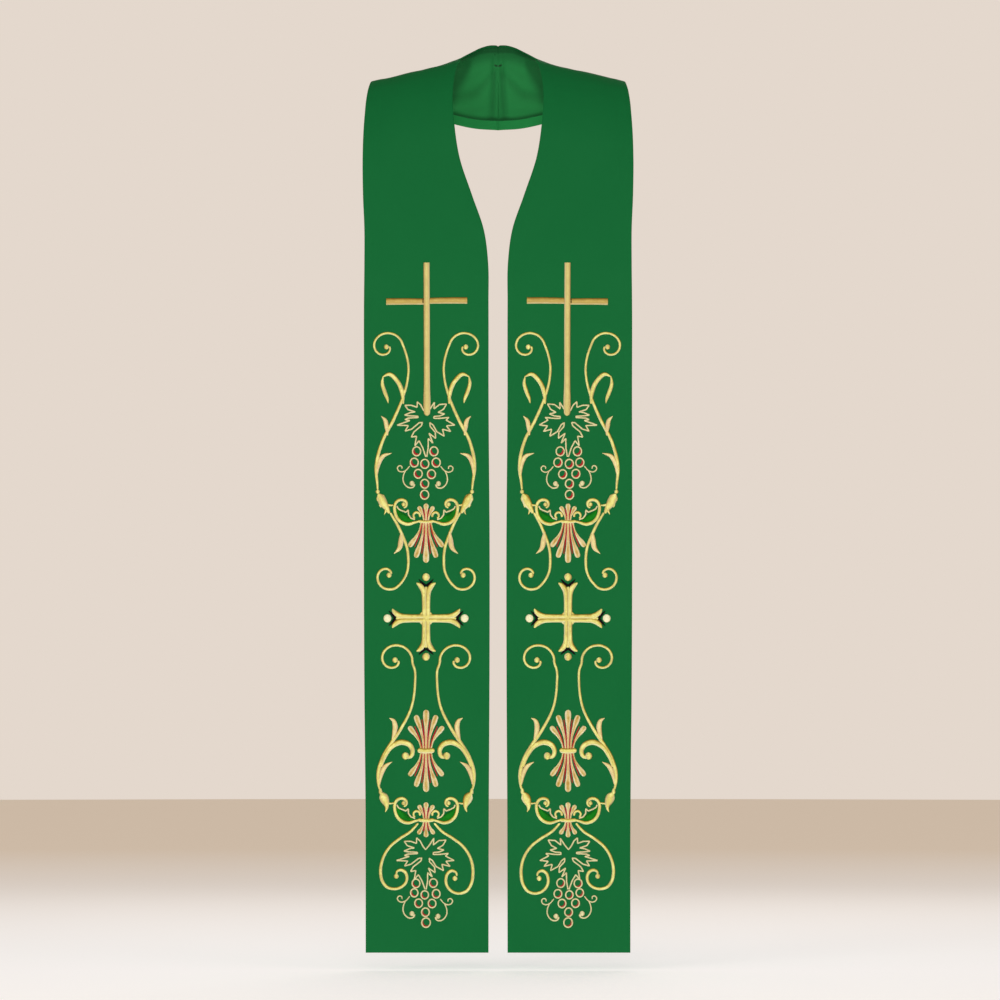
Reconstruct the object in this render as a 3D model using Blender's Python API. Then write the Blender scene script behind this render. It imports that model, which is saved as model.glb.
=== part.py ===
"""A clerical stole in its worn shape: round the back of the neck, over both shoulders, down the front.

The stole is two mirrored halves that meet at a seam at the centre back. Each half is an outer panel,
cut in one from that seam to the hem, with both long edges and the hem turned in, and a lining that
lies between the turned edges. All four pieces are hollow walls of cloth on the same curved surface.

Frame: +X to the right as seen from the front, +Y to the back, +Z up. The origin is midway between
the two shoulders, at the height where they carry the stole.
"""

from collections import namedtuple

import bmesh
import bpy
import numpy as np

MM = 0.001

# Driving dimensions, in millimetres.
FRONT_WIDTH = 156.0
FRONT_GAP = 24.2
HEM_DROP = 1126.0
CHEST_FORWARD = 72.0
NECK_HALF_WIDTH = 57.7
SHOULDER_REACH = 161.5
BACK_NECK_RISE = 32.0

# The cloth: an outer panel with turned edges, and a lining inside them.
PANEL_WALL = 1.2
LINING_WALL = 1.2
PIECE_GAP = 0.3
EDGE_THICKNESS = PANEL_WALL + PIECE_GAP + LINING_WALL
EDGE_TURN = 15.0
HEM_TURN = 25.0
EDGE_ROUND = 0.9
FOLD_STEP = 0.5

FACE_COLUMNS = 9
LINING_COLUMNS = 7

GAP_X = FRONT_GAP / 2
SIDE_X = GAP_X + FRONT_WIDTH
HEM_Z = -HEM_DROP
FRONT_Y = -CHEST_FORWARD
NECK_X = NECK_HALF_WIDTH
REACH = SHOULDER_REACH

# Straight sections across one half, from the centre back to the hem, each from the neck edge to the
# outer edge. crown is how far the middle of the section stands out from the straight line, and rings
# is how many steps lead to the next section.
Section = namedtuple("Section", "place neck_x neck_y neck_z side_x side_y side_z crown rings")
SECTIONS = (
    Section("centre back", 0.0, 56.0, BACK_NECK_RISE, 0.0, 72.5, -76.5, -4.5, 2),
    Section("back neck", 12.0, 54.0, 31.4, 30.0, 71.5, -74.5, -4.3, 2),
    Section("neck turning", 23.0, 48.0, 28.0, 60.0, 68.0, -68.0, -3.6, 2),
    Section("neck corner", 32.5, 38.5, 23.0, 90.0, 61.0, -59.0, -2.6, 2),
    Section("behind neck", 39.5, 27.0, 18.8, 118.0, 51.0, -48.0, -1.4, 2),
    Section("shoulder back", 44.5, 15.0, 15.2, 141.0, 36.0, -35.5, -0.2, 2),
    Section("behind ridge", 48.3, 5.0, 12.0, 155.5, 17.0, -23.8, 0.8, 2),
    Section("shoulder ridge", 51.3, -5.0, 7.0, REACH, 0.0, -17.0, 1.4, 2),
    Section("before ridge", 54.2, -16.0, -3.6, 165.0, -16.0, -24.0, 1.6, 2),
    Section("shoulder front", 56.7, -28.0, -20.0, 168.0, -30.0, -40.0, 1.6, 2),
    Section("collar bone", NECK_X, -38.0, -41.0, 169.8, -41.0, -60.0, 1.5, 2),
    Section("upper chest", 55.6, -48.0, -71.5, 171.3, -50.5, -83.5, 1.4, 2),
    Section("chest", 49.6, -56.0, -112.0, 172.2, -58.0, -116.0, 1.2, 2),
    Section("neck slope", 33.1, -64.0, -163.0, 171.6, -65.0, -164.0, 0.8, 2),
    Section("low neck", 17.9, -69.5, -208.0, 169.8, -70.0, -208.0, 0.4, 2),
    Section("front meets", 12.5, FRONT_Y, -250.0, 169.8, FRONT_Y, -250.0, 0.0, 1),
    Section("plumb front", GAP_X, FRONT_Y, -300.0, 170.3, FRONT_Y, -300.0, 0.0, 1),
    Section("below chest", 12.0, FRONT_Y, -420.0, 170.2, FRONT_Y, -420.0, 0.0, 1),
    Section("middle front", 10.7, FRONT_Y, -600.0, 170.5, FRONT_Y, -600.0, 0.0, 1),
    Section("lower front", 10.9, FRONT_Y, -800.0, 169.7, FRONT_Y, -800.0, 0.0, 1),
    Section("above hem", 11.7, FRONT_Y, -940.0, 168.3, FRONT_Y, -940.0, 0.0, 1),
    Section("hem", GAP_X, FRONT_Y, HEM_Z, SIDE_X, FRONT_Y, HEM_Z, 0.0, 0),
)

PANEL_GREEN = (0.010, 0.130, 0.035, 1.0)
LINING_GREEN = (0.020, 0.180, 0.052, 1.0)


def smooth_rows(rows, at_rows, at):
    """Rows read at other stations along a smooth curve: cubic steps whose slopes are the rows' own."""
    slopes = np.gradient(rows, at_rows, axis=0)
    step = np.clip(np.searchsorted(at_rows, at, side="right") - 1, 0, len(at_rows) - 2)
    span = at_rows[step + 1] - at_rows[step]
    t = ((at - at_rows[step]) / span)[:, None]
    span = span[:, None]
    start = (1 + 2 * t) * (1 - t) ** 2 * rows[step]
    end = t ** 2 * (3 - 2 * t) * rows[step + 1]
    leaving = t * (1 - t) ** 2 * span * slopes[step]
    arriving = t ** 2 * (t - 1) * span * slopes[step + 1]
    return start + end + leaving + arriving


def ring_stations():
    """Stations of the sections along the middle of the half, and of every ring, hem fold included."""
    table = np.array([section[1:] for section in SECTIONS], float)
    middle = (table[:, 0:3] + table[:, 3:6]) / 2
    at_rows = np.concatenate([[0.0], np.cumsum(np.linalg.norm(np.diff(middle, axis=0), axis=1))])
    rings = [at_rows[0]]
    for start, end, section in zip(at_rows[:-1], at_rows[1:], SECTIONS):
        rings.extend(np.linspace(start, end, section.rings + 1)[1:])
    fold = at_rows[-1] - HEM_TURN
    rings = [ring for ring in rings if ring < fold - EDGE_TURN]
    lining_end = fold - FOLD_STEP - PIECE_GAP
    rings += [lining_end, fold - FOLD_STEP, fold, at_rows[-1]]
    return table[:, 0:7], at_rows, np.array(rings)


def half_surface(table, at_rows, at):
    """Neck edge, outer edge and crown at each station along the half."""
    rows = smooth_rows(table, at_rows, at)
    neck, side, crown = rows[:, 0:3].copy(), rows[:, 3:6].copy(), rows[:, 6]
    neck[0, 0] = PIECE_GAP / 2
    side[0, 0] = PIECE_GAP / 2
    return neck, side, crown


def outward(neck, side):
    """Unit normals of the sections, away from the wearer: along the half crossed with across it."""
    across = side - neck
    along = np.gradient((neck + side) / 2, axis=0)
    normal = np.cross(along, across)
    normal[0, 0] = 0.0
    return normal / np.linalg.norm(normal, axis=1)[:, None]


def layer_points(neck, side, crown, across, depth):
    """Points at a distance across the half from the neck edge and at a depth under its outer face."""
    width = np.linalg.norm(side - neck, axis=1)[:, None]
    share = across / width
    rise = crown[:, None] * 4 * share * (1 - share) - depth
    line = neck[:, None, :] + (side - neck)[:, None, :] * share[:, :, None]
    return line + outward(neck, side)[:, None, :] * rise[:, :, None]


def spread(low, high, count):
    """Evenly spaced columns between two distances that change from ring to ring."""
    share = np.linspace(0.0, 1.0, count)
    return low[:, None] * (1 - share) + high[:, None] * share


def constant(rings, *values):
    return np.tile(np.array(values, float), (rings, 1))


def panel_section(width, floor):
    """Closed section of the outer panel: its face, a round edge, the turned edge, then the underside."""
    rings = len(width)
    edge = constant(rings, 0.25, 0.0, 0.25) * EDGE_ROUND
    edge_depth = constant(rings, 0.2, 0.5, 0.8) * EDGE_THICKNESS
    full = width[:, None]
    under = spread(width - EDGE_TURN, np.full(rings, EDGE_TURN), LINING_COLUMNS)
    across = [
        spread(np.full(rings, EDGE_ROUND), width - EDGE_ROUND, FACE_COLUMNS),
        full - edge,
        full - EDGE_ROUND,
        full - EDGE_TURN,
        under,
        constant(rings, EDGE_TURN),
        constant(rings, EDGE_ROUND),
        edge,
    ]
    depth = [
        np.zeros((rings, FACE_COLUMNS)),
        edge_depth,
        constant(rings, EDGE_THICKNESS, EDGE_THICKNESS),
        np.tile(floor[:, None], (1, LINING_COLUMNS)),
        constant(rings, EDGE_THICKNESS, EDGE_THICKNESS),
        edge_depth[:, ::-1],
    ]
    return np.hstack(across), np.hstack(depth)


def lining_section(width):
    """Closed section of the lining: outer face under the panel, then the face next to the wearer."""
    rings = len(width)
    inset = EDGE_TURN + PIECE_GAP
    upper = spread(width - inset, np.full(rings, inset), LINING_COLUMNS)
    top = PANEL_WALL + PIECE_GAP
    depth = np.hstack([np.full(upper.shape, top), np.full(upper.shape, top + LINING_WALL)])
    return np.hstack([upper, upper[:, ::-1]]), depth


def ring_solid(name, points, mirror, material):
    """A closed mesh from rings of points: a band of triangles between rings, and a cap at each end."""
    rings, count, _ = points.shape
    points = points * MM
    points[:, :, 0] *= mirror
    low = np.arange(rings * count).reshape(rings, count)
    a, b = low[:-1], np.roll(low, -1, axis=1)[:-1]
    c, d = np.roll(low, -1, axis=1)[1:], low[1:]
    faces = np.concatenate([np.dstack([a, b, c]).reshape(-1, 3), np.dstack([a, c, d]).reshape(-1, 3)])
    caps = [low[0][::-1].tolist(), low[-1].tolist()]
    mesh = bpy.data.meshes.new(name)
    mesh.from_pydata(points.reshape(-1, 3).tolist(), [], faces.tolist() + caps)
    shell = bmesh.new()
    shell.from_mesh(mesh)
    bmesh.ops.recalc_face_normals(shell, faces=shell.faces)
    shell.to_mesh(mesh)
    shell.free()
    mesh.shade_smooth()
    mesh.set_sharp_from_angle(angle=np.radians(40))
    mesh.materials.append(material)
    piece = bpy.data.objects.new(name, mesh)
    bpy.context.scene.collection.objects.link(piece)
    return piece


def cloth_material(name, colour, roughness):
    material = bpy.data.materials.new(name)
    material.use_nodes = True
    shader = material.node_tree.nodes["Principled BSDF"]
    shader.inputs["Base Color"].default_value = colour
    shader.inputs["Roughness"].default_value = roughness
    shader.inputs["Metallic"].default_value = 0.0
    material.diffuse_color = colour
    return material


def make_panel(name, mirror, material):
    """Outer panel: one wall with its edges turned in, and the same fold across the hem."""
    table, at_rows, rings = ring_stations()
    neck, side, crown = half_surface(table, at_rows, rings)
    width = np.linalg.norm(side - neck, axis=1)
    floor = np.full(len(rings), PANEL_WALL)
    floor[-2:] = EDGE_THICKNESS
    across, depth = panel_section(width, floor)
    return ring_solid(name, layer_points(neck, side, crown, across, depth), mirror, material)


def make_lining(name, mirror, material):
    """Lining: one wall between the turned edges, from the centre back to just above the hem fold."""
    table, at_rows, rings = ring_stations()
    neck, side, crown = half_surface(table, at_rows, rings[:-3])
    width = np.linalg.norm(side - neck, axis=1)
    across, depth = lining_section(width)
    return ring_solid(name, layer_points(neck, side, crown, across, depth), mirror, material)


def main():
    for old in list(bpy.data.objects):
        bpy.data.objects.remove(old)
    panel = cloth_material("panel_cloth", PANEL_GREEN, 0.72)
    lining = cloth_material("lining_cloth", LINING_GREEN, 0.55)
    for side, mirror in (("left", -1.0), ("right", 1.0)):
        make_panel(f"panel_{side}", mirror, panel)
        make_lining(f"lining_{side}", mirror, lining)


main()
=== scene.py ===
"""The looks of a green clerical stole: lined cloth bands with raised gold embroidery on both fronts.

Lengths in the tables are millimetres. The stole's frame has +X to the right seen from the front,
+Y to the wearer's back and +Z up, and everything is made for the right half and mirrored for the left.
"""

from collections import namedtuple

import bpy
import numpy as np
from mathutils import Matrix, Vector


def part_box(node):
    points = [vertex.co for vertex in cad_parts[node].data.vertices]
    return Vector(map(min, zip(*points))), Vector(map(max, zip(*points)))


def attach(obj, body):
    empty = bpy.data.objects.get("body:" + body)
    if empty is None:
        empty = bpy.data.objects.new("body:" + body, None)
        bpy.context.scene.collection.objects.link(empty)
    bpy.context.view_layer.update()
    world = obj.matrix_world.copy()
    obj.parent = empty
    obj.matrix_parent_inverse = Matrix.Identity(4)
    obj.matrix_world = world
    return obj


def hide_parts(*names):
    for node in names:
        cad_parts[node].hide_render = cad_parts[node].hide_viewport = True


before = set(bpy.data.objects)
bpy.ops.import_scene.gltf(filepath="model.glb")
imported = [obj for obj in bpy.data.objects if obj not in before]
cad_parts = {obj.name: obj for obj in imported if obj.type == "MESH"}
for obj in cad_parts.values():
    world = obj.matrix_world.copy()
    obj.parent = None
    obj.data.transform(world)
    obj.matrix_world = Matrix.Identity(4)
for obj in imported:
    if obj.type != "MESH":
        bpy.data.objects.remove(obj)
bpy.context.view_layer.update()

MM = 0.001
PANEL_LOW, PANEL_HIGH = (np.array(corner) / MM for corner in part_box("panel_right"))

# The garment's sizes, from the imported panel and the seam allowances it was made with.
HEM_Z = PANEL_LOW[2]
FRONT_Y = PANEL_LOW[1]
BACK_NECK_Z = PANEL_HIGH[2] + 0.2
GAP_X = 12.1
SIDE_X = 168.1
NECK_X = 57.7
REACH_X = 161.5
PANEL_WALL = 1.2
EDGE_THICKNESS = 2.7
EDGE_RADIUS = EDGE_THICKNESS / 2
EDGE_TURN = 15.0
HEM_TURN = 25.0
LINING_WALL = 0.7
LINING_OVERLAP = 2.5
NECK_MARGIN = 3.0
SEAM_X = 0.0
SEAM_NOTCH = 1.5
STATION_STEP = 2.0
CHEST_STATION = 330.0

# How many columns of points lie across the face, each turned edge, the panel's inner side and the lining.
FACE_COLUMNS = 44
LIP_COLUMNS = 5
UNDER_COLUMNS = 16
LINING_COLUMNS = 44

# The embroidery's axis on the left and the right front, and the relief of its satin stitch.
AXIS = {-1.0: 91.4, 1.0: 88.9}
STITCH_STEP = 0.6
RIDGE = 1.2

# Straight sections across one half, from the neck edge to the outer edge.
Section = namedtuple("Section", "place neck_x neck_y neck_z side_x side_y side_z crown")
SECTIONS = (
    Section("centre back", 0.0, 56.0, BACK_NECK_Z, 0.0, 72.5, -76.5, -4.5),
    Section("back neck", 12.0, 54.0, 31.4, 30.0, 71.5, -74.5, -4.3),
    Section("neck turning", 23.0, 48.0, 28.0, 60.0, 68.0, -68.0, -3.6),
    Section("neck corner", 32.5, 38.5, 23.0, 90.0, 61.0, -59.0, -2.6),
    Section("behind neck", 39.5, 27.0, 18.8, 118.0, 51.0, -48.0, -1.4),
    Section("shoulder back", 44.5, 15.0, 15.2, 141.0, 36.0, -35.5, -0.2),
    Section("behind ridge", 48.3, 5.0, 12.0, 155.5, 17.0, -23.8, 0.8),
    Section("shoulder ridge", 51.3, -5.0, 7.0, REACH_X, 0.0, -17.0, 1.4),
    Section("before ridge", 54.2, -16.0, -3.6, 165.0, -16.0, -24.0, 1.6),
    Section("shoulder front", 56.7, -28.0, -20.0, 168.0, -30.0, -40.0, 1.6),
    Section("collar bone", NECK_X, -38.0, -41.0, 169.8, -41.0, -60.0, 1.5),
    Section("upper chest", 55.6, -48.0, -71.5, 171.3, -50.5, -83.5, 1.4),
    Section("chest", 49.6, -56.0, -112.0, 172.2, -58.0, -116.0, 1.2),
    Section("neck slope", 33.1, -64.0, -163.0, 171.6, -65.0, -164.0, 0.8),
    Section("low neck", 17.9, -69.5, -208.0, 169.8, -70.0, -208.0, 0.4),
    Section("front meets", 12.5, FRONT_Y, -250.0, 169.8, FRONT_Y, -250.0, 0.0),
    Section("plumb front", GAP_X, FRONT_Y, -300.0, 170.3, FRONT_Y, -300.0, 0.0),
    Section("below chest", 12.0, FRONT_Y, -420.0, 170.2, FRONT_Y, -420.0, 0.0),
    Section("middle front", 10.7, FRONT_Y, -600.0, 170.5, FRONT_Y, -600.0, 0.0),
    Section("lower front", 10.9, FRONT_Y, -800.0, 169.7, FRONT_Y, -800.0, 0.0),
    Section("above hem", 11.7, FRONT_Y, -940.0, 168.3, FRONT_Y, -940.0, 0.0),
    Section("hem", GAP_X, FRONT_Y, HEM_Z, SIDE_X, FRONT_Y, HEM_Z, 0.0),
)


# ---------------------------------------------------------------- the garment's form

def smooth_rows(rows, at_rows, at):
    """Rows read at other stations along a smooth curve: cubic steps whose slopes are the rows' own."""
    slopes = np.gradient(rows, at_rows, axis=0)
    step = np.clip(np.searchsorted(at_rows, at, side="right") - 1, 0, len(at_rows) - 2)
    span = at_rows[step + 1] - at_rows[step]
    t = ((at - at_rows[step]) / span)[:, None]
    span = span[:, None]
    start = (1 + 2 * t) * (1 - t) ** 2 * rows[step]
    end = t ** 2 * (3 - 2 * t) * rows[step + 1]
    leaving = t * (1 - t) ** 2 * span * slopes[step]
    arriving = t ** 2 * (t - 1) * span * slopes[step + 1]
    return start + end + leaving + arriving


def walked(points):
    """Distance walked along a row of points."""
    return np.concatenate([[0.0], np.cumsum(np.linalg.norm(np.diff(points, axis=0), axis=1))])


def ramp(low, high, value):
    """Smooth step from 0 at low to 1 at high."""
    t = np.clip((value - low) / (high - low), 0.0, 1.0)
    return t * t * (3 - 2 * t)


class Form:
    """The right half's surface: read by station along it, distance across it, and lift off its face."""

    def __init__(self):
        table = np.array([section[1:] for section in SECTIONS], float)
        at_rows = walked((table[:, 0:3] + table[:, 3:6]) / 2)
        self.length = at_rows[-1]
        self.at = np.linspace(0.0, self.length, int(self.length / STATION_STEP))
        rows = smooth_rows(table, at_rows, self.at)
        self.neck, self.side, self.crown = rows[:, 0:3], rows[:, 3:6], rows[:, 6]
        self.neck[0, 0] = self.side[0, 0] = SEAM_X
        self.width = np.linalg.norm(self.side - self.neck, axis=1)
        middle = (self.neck + self.side) / 2
        normal = np.cross(np.gradient(middle, axis=0), self.side - self.neck)
        normal[0, 0] = 0.0
        self.normal = normal / np.linalg.norm(normal, axis=1)[:, None]
        self.middle_z = middle[:, 2]

    def read(self, values, station):
        """Values kept for each section, read between the sections."""
        if values.ndim == 1:
            return np.interp(station, self.at, values)
        return np.stack([np.interp(station, self.at, values[:, k]) for k in range(3)], axis=-1)

    def point(self, station, across, lift):
        """Neck edge plus a share of the way to the outer edge, raised by the crown and by the lift."""
        width = self.read(self.width, station)
        share = across / width
        neck, side = self.read(self.neck, station), self.read(self.side, station)
        rise = self.read(self.crown, station) * 4 * share * (1 - share) + lift
        return neck + (side - neck) * share[..., None] + self.read(self.normal, station) * rise[..., None]

    def front_station(self, height):
        """Station of a height above the hem on the front, where the half only runs down."""
        top = int(np.argmax(self.middle_z))
        return np.interp(-(height + HEM_Z), -self.middle_z[top:], self.at[top:])


FORM = Form()

# Soft troughs pressed into the cloth: each runs from one point of a half to another. On the left half
# they start at a share of the right half's places, so that the halves differ.
PANEL_SWAY = 0.93
LINING_SWAY = 0.94
Crease = namedtuple("Crease", "place station across to_station to_across depth spread")
PANEL_CREASES = (
    Crease("back drag", 20.0, 26.0, 74.0, 60.0, 1.1, 9.0),
    Crease("back low drag", 34.0, 70.0, 96.0, 92.0, 0.8, 8.0),
    Crease("shoulder fall", 128.0, 30.0, 208.0, 22.0, 0.8, 9.0),
    Crease("outer fall", 150.0, 92.0, 250.0, 104.0, 0.9, 12.0),
    Crease("chest drag", 250.0, 26.0, 330.0, 66.0, 0.6, 14.0),
    Crease("back of shoulder", 84.0, 16.0, 132.0, 48.0, 1.0, 8.0),
)
LINING_CREASES = (
    Crease("apex", 6.0, 34.0, 33.0, 62.0, 2.1, 5.5),
    Crease("side drag", 33.0, 62.0, 60.0, 68.0, 2.4, 8.0),
    Crease("upper fan", 7.0, 27.0, 44.0, 38.0, 1.0, 6.0),
    Crease("low pull", 16.0, 86.0, 50.0, 90.0, 0.9, 5.0),
    Crease("shoulder tuck", 96.0, 34.0, 150.0, 52.0, 1.2, 7.0),
    Crease("front pull", 330.0, 40.0, 470.0, 72.0, 1.0, 11.0),
    Crease("middle pull", 540.0, 84.0, 660.0, 60.0, 0.7, 9.0),
    Crease("low pull in front", 760.0, 52.0, 930.0, 78.0, 0.9, 13.0),
)


def trough(crease, station, across, sway):
    """Depth of one crease: full along its line, falling off beside it as a bell curve."""
    start = np.array([crease.station, crease.across]) * sway
    run = np.array([crease.to_station, crease.to_across]) - start
    offset = np.stack([station - start[0], across - start[1]], axis=-1)
    along = np.clip(offset @ run / (run @ run), 0.0, 1.0)
    distance = np.linalg.norm(offset - along[..., None] * run, axis=-1)
    fade = 0.45 + 0.55 * np.sin(np.pi * np.clip(along, 0.08, 0.92))
    return crease.depth * fade * np.exp(-(distance / crease.spread) ** 2)


def creased(creases, station, across, mirror, left_sway):
    """Depth of all these creases together on one half."""
    sway = 1.0 if mirror > 0 else left_sway
    return sum(trough(crease, station, across, sway) for crease in creases)


def face_lift(station, across, mirror):
    """Lift of the outer face: long low waves, a thicker turned edge, a sunk seam, and the creases."""
    width = FORM.read(FORM.width, station)
    edge = np.minimum(np.minimum(across, width - across), FORM.length - station)
    phase = 0.7 if mirror > 0 else 2.1
    wave = 0.55 * np.sin(station / 71.0 + phase) * np.sin(np.pi * across / width)
    wave += 0.35 * np.sin(station / 38.0 + across / 52.0 + 2 * phase)
    lift = wave * ramp(0.0, 22.0, edge) + 0.35 * (1 - ramp(11.0, 19.0, edge))
    folds = creased(PANEL_CREASES, station, across, mirror, PANEL_SWAY)
    return lift - 0.9 * np.exp(-station / 3.0) - folds * ramp(0.0, 12.0, edge)


def neck_border(station):
    """The lining's border from the neck edge: near it at the back, on the turned edge in front."""
    return NECK_MARGIN + (EDGE_TURN - LINING_OVERLAP - NECK_MARGIN) * ramp(110.0, 240.0, station)


def lining_border(station, across):
    """Distance in from the lining's folded border."""
    width = FORM.read(FORM.width, station)
    neck = neck_border(station) + 1.6 * (1 - ramp(6.0, 40.0, station))
    side = EDGE_TURN - LINING_OVERLAP
    hem = FORM.length - station - (HEM_TURN - LINING_OVERLAP)
    return np.minimum(np.minimum(across - neck, width - side - across), hem)


def lining_depth(station, across, mirror):
    """Depth of the lining's upper side: over the turned edges, down behind the panel, puffed at the neck."""
    border = lining_border(station, across)
    lies = 1.35 + 1.5 * (1 - ramp(LINING_OVERLAP - 0.5, LINING_OVERLAP + 5.0, border))
    inside = ramp(1.0, 18.0, border)
    seam = 1 - 0.8 * np.exp(-((station - 6.5) / 3.6) ** 2) - 0.3 * np.exp(-((station - 0.8) / 1.2) ** 2)
    puff = 4.6 * inside * seam * (1 - ramp(70.0, 190.0, station))
    puff += 0.8 * inside * (1 + np.sin(station / 43.0 + across / 31.0 + mirror))
    folds = creased(LINING_CREASES, station, across, mirror, LINING_SWAY)
    return lies + np.maximum(puff - folds * inside, 0.0)


def lining_painted_shade(station, across, mirror):
    """Painted shade on the lining: under the neck edge, in the neck's corners, in the seam, along the folded
    border and in the creases.
    """
    roll = (1 - ramp(0.0, 32.0, across)) * (1 - ramp(60.0, 110.0, station))
    corner = 0.75 * ramp(43.0, 62.0, station) * (1 - ramp(100.0, 150.0, station))
    seam = 0.42 * np.exp(-((station - 6.0) / 4.0) ** 2) * ramp(24.0, 40.0, across)
    fold = 0.85 * (1 - ramp(1.2, 6.5, lining_border(station, across)))
    folds = creased(LINING_CREASES, station, across, mirror, LINING_SWAY)
    return np.clip(np.maximum(0.85 * roll, corner) + seam + fold + 0.11 * folds, 0.0, 1.0)


# ---------------------------------------------------------------- meshes

def add_mesh(name, points, faces, uv, shade, material):
    """A mesh of quads from whole arrays, turned inside out if its volume comes out negative."""
    a, b, c, d = (points[faces[:, k]] for k in range(4))
    volume = np.einsum("ij,ij->", a, np.cross(b, c)) + np.einsum("ij,ij->", a, np.cross(c, d))
    if volume < 0:
        faces = faces[:, ::-1]
    mesh = bpy.data.meshes.new(name)
    mesh.vertices.add(len(points))
    mesh.vertices.foreach_set("co", points.astype(np.float32).ravel())
    mesh.loops.add(faces.size)
    mesh.loops.foreach_set("vertex_index", faces.astype(np.int32).ravel())
    mesh.polygons.add(len(faces))
    mesh.polygons.foreach_set("loop_start", np.arange(0, faces.size, 4, dtype=np.int32))
    mesh.update(calc_edges=True)
    layer = mesh.uv_layers.new(name="thread")
    layer.data.foreach_set("uv", uv[faces.ravel()].astype(np.float32).ravel())
    # The shade attribute: painted shade and highlight on cloth and thread, and the wrong side's colour on the
    # panel's turned edges.
    tone = mesh.attributes.new("shade", "FLOAT", "POINT")
    tone.data.foreach_set("value", shade.astype(np.float32).ravel())
    mesh.validate()
    mesh.shade_smooth()
    mesh.materials.append(material)
    piece = bpy.data.objects.new(name, mesh)
    bpy.context.scene.collection.objects.link(piece)
    return piece


def tube_faces(rings, count):
    """Quads between neighbouring rings of a closed section, and quads in fans that shut both ends."""
    index = np.arange(rings * count).reshape(rings, count)
    around = np.roll(index, -1, axis=1)
    sides = np.stack([index[:-1], around[:-1], around[1:], index[1:]], axis=-1).reshape(-1, 4)
    k = np.arange((count - 2) // 2)
    low, high = index[0], index[-1]
    start = np.stack([low[k], low[-1 - k], low[-2 - k], low[k + 1]], axis=-1)
    end = np.stack([high[k], high[k + 1], high[-2 - k], high[-1 - k]], axis=-1)
    return np.concatenate([sides, start, end])


def placed(points, mirror):
    """Millimetre points in metres, mirrored for the left half, as one long row."""
    return points.reshape(-1, 3) * MM * np.array([mirror, 1.0, 1.0])


def laid(station, across, lift, mirror):
    """Points of one half at a lift from its outer face, before they are mirrored."""
    return FORM.point(station, across, face_lift(station, across, mirror) + lift)


def ring_mesh(name, station, across, depth, shade, mirror, material):
    """A closed shell of rings, each point at a depth below the outer face."""
    points = laid(station, across, -depth, mirror)
    uv = np.stack([station * MM, across * MM], axis=-1).reshape(-1, 2)
    return add_mesh(name, placed(points, mirror), tube_faces(*station.shape), uv, shade, material)


def columns(low, high, count):
    """Columns between two distances that change from ring to ring, closer together near both ends."""
    share = 0.5 - 0.5 * np.cos(np.linspace(0.0, np.pi, count))
    share = 0.5 * share + 0.5 * np.linspace(0.0, 1.0, count)
    return low[:, None] * (1 - share) + high[:, None] * share


def half_stations(end):
    """Stations of the rings: close together round the neck and shoulder, wider down the front."""
    near = np.arange(0.0, CHEST_STATION, 3.0)
    far = np.arange(CHEST_STATION, end - 4.0, 6.0)
    return np.concatenate([near, far, [end - 3.0]])


def panel_shell(name, mirror, material):
    """Outer panel: the face, a round folded edge, the turned edge under it, and the cloth's inner side.

    The folded edge and the hem are half circles, so the depth there shrinks as a circle's height does.
    """
    fold = FORM.length - HEM_TURN
    hem = FORM.length - np.array([24.0, 18.0, 12.0, 6.0, 3.0, 1.35, 0.9, 0.5, 0.2, 0.0])
    rings = np.concatenate([half_stations(fold), [fold - 0.4, fold], hem])
    width = FORM.read(FORM.width, rings)
    count = len(rings)
    turn = np.radians(np.linspace(0.0, 180.0, 9)[1:-1])
    round_in = np.tile(EDGE_RADIUS * (1 - np.sin(turn)), (count, 1))
    round_down = np.tile(EDGE_RADIUS * (1 - np.cos(turn)), (count, 1))
    ones = np.ones(count)
    face = columns(ones * EDGE_RADIUS, width - EDGE_RADIUS, FACE_COLUMNS)
    lip = columns(width - EDGE_RADIUS, width - EDGE_TURN, LIP_COLUMNS)
    under = columns(width - EDGE_TURN - 0.3, ones * (EDGE_TURN + 0.3), UNDER_COLUMNS)
    floor = np.where(rings < fold - 0.2, PANEL_WALL, EDGE_THICKNESS)[:, None]
    full = width[:, None]
    across = np.hstack([face, full - round_in, lip, under, full - lip[:, ::-1], round_in[:, ::-1]])
    lip_depth = np.full(lip.shape, EDGE_THICKNESS)
    depth = np.hstack([
        np.zeros(face.shape), round_down, lip_depth, np.repeat(floor, UNDER_COLUMNS, axis=1),
        lip_depth, round_down[:, ::-1],
    ])
    near_hem = np.clip((EDGE_RADIUS - (FORM.length - rings)) / EDGE_RADIUS, 0.0, 1.0)[:, None]
    shrink = np.sqrt(np.clip(1 - near_hem ** 2, 0.002, 1.0))
    depth = EDGE_RADIUS + (depth - EDGE_RADIUS) * shrink
    station = np.repeat(rings[:, None], across.shape[1], axis=1)
    across = across + SEAM_NOTCH * np.exp(-station / 2.2) * (1 - ramp(0.0, 25.0, across))
    # The shade is -1 on the turned edges, which show the cloth's wrong side, and 0.5 in the back of the neck,
    # where it is painted shade.
    turned = ramp(0.6, 2.4, round_down)
    painted_neck_shade = 0.5 * (1 - ramp(60.0, 110.0, rings)[:, None])
    front_neck = ramp(110.0, 150.0, rings)[:, None]
    shade = np.hstack([
        np.zeros(face.shape), -turned, np.full(lip.shape, -1.0), np.full(under.shape, -1.0),
        np.repeat(painted_neck_shade - front_neck, LIP_COLUMNS, axis=1), painted_neck_shade - front_neck * turned[:, ::-1],
    ])
    # Painted shade along the sunk centre back seam.
    shade = shade + 0.35 * np.exp(-station / 4.0) * (shade > -0.5)
    return ring_mesh(name, station, across, depth, shade, mirror, material)


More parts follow.
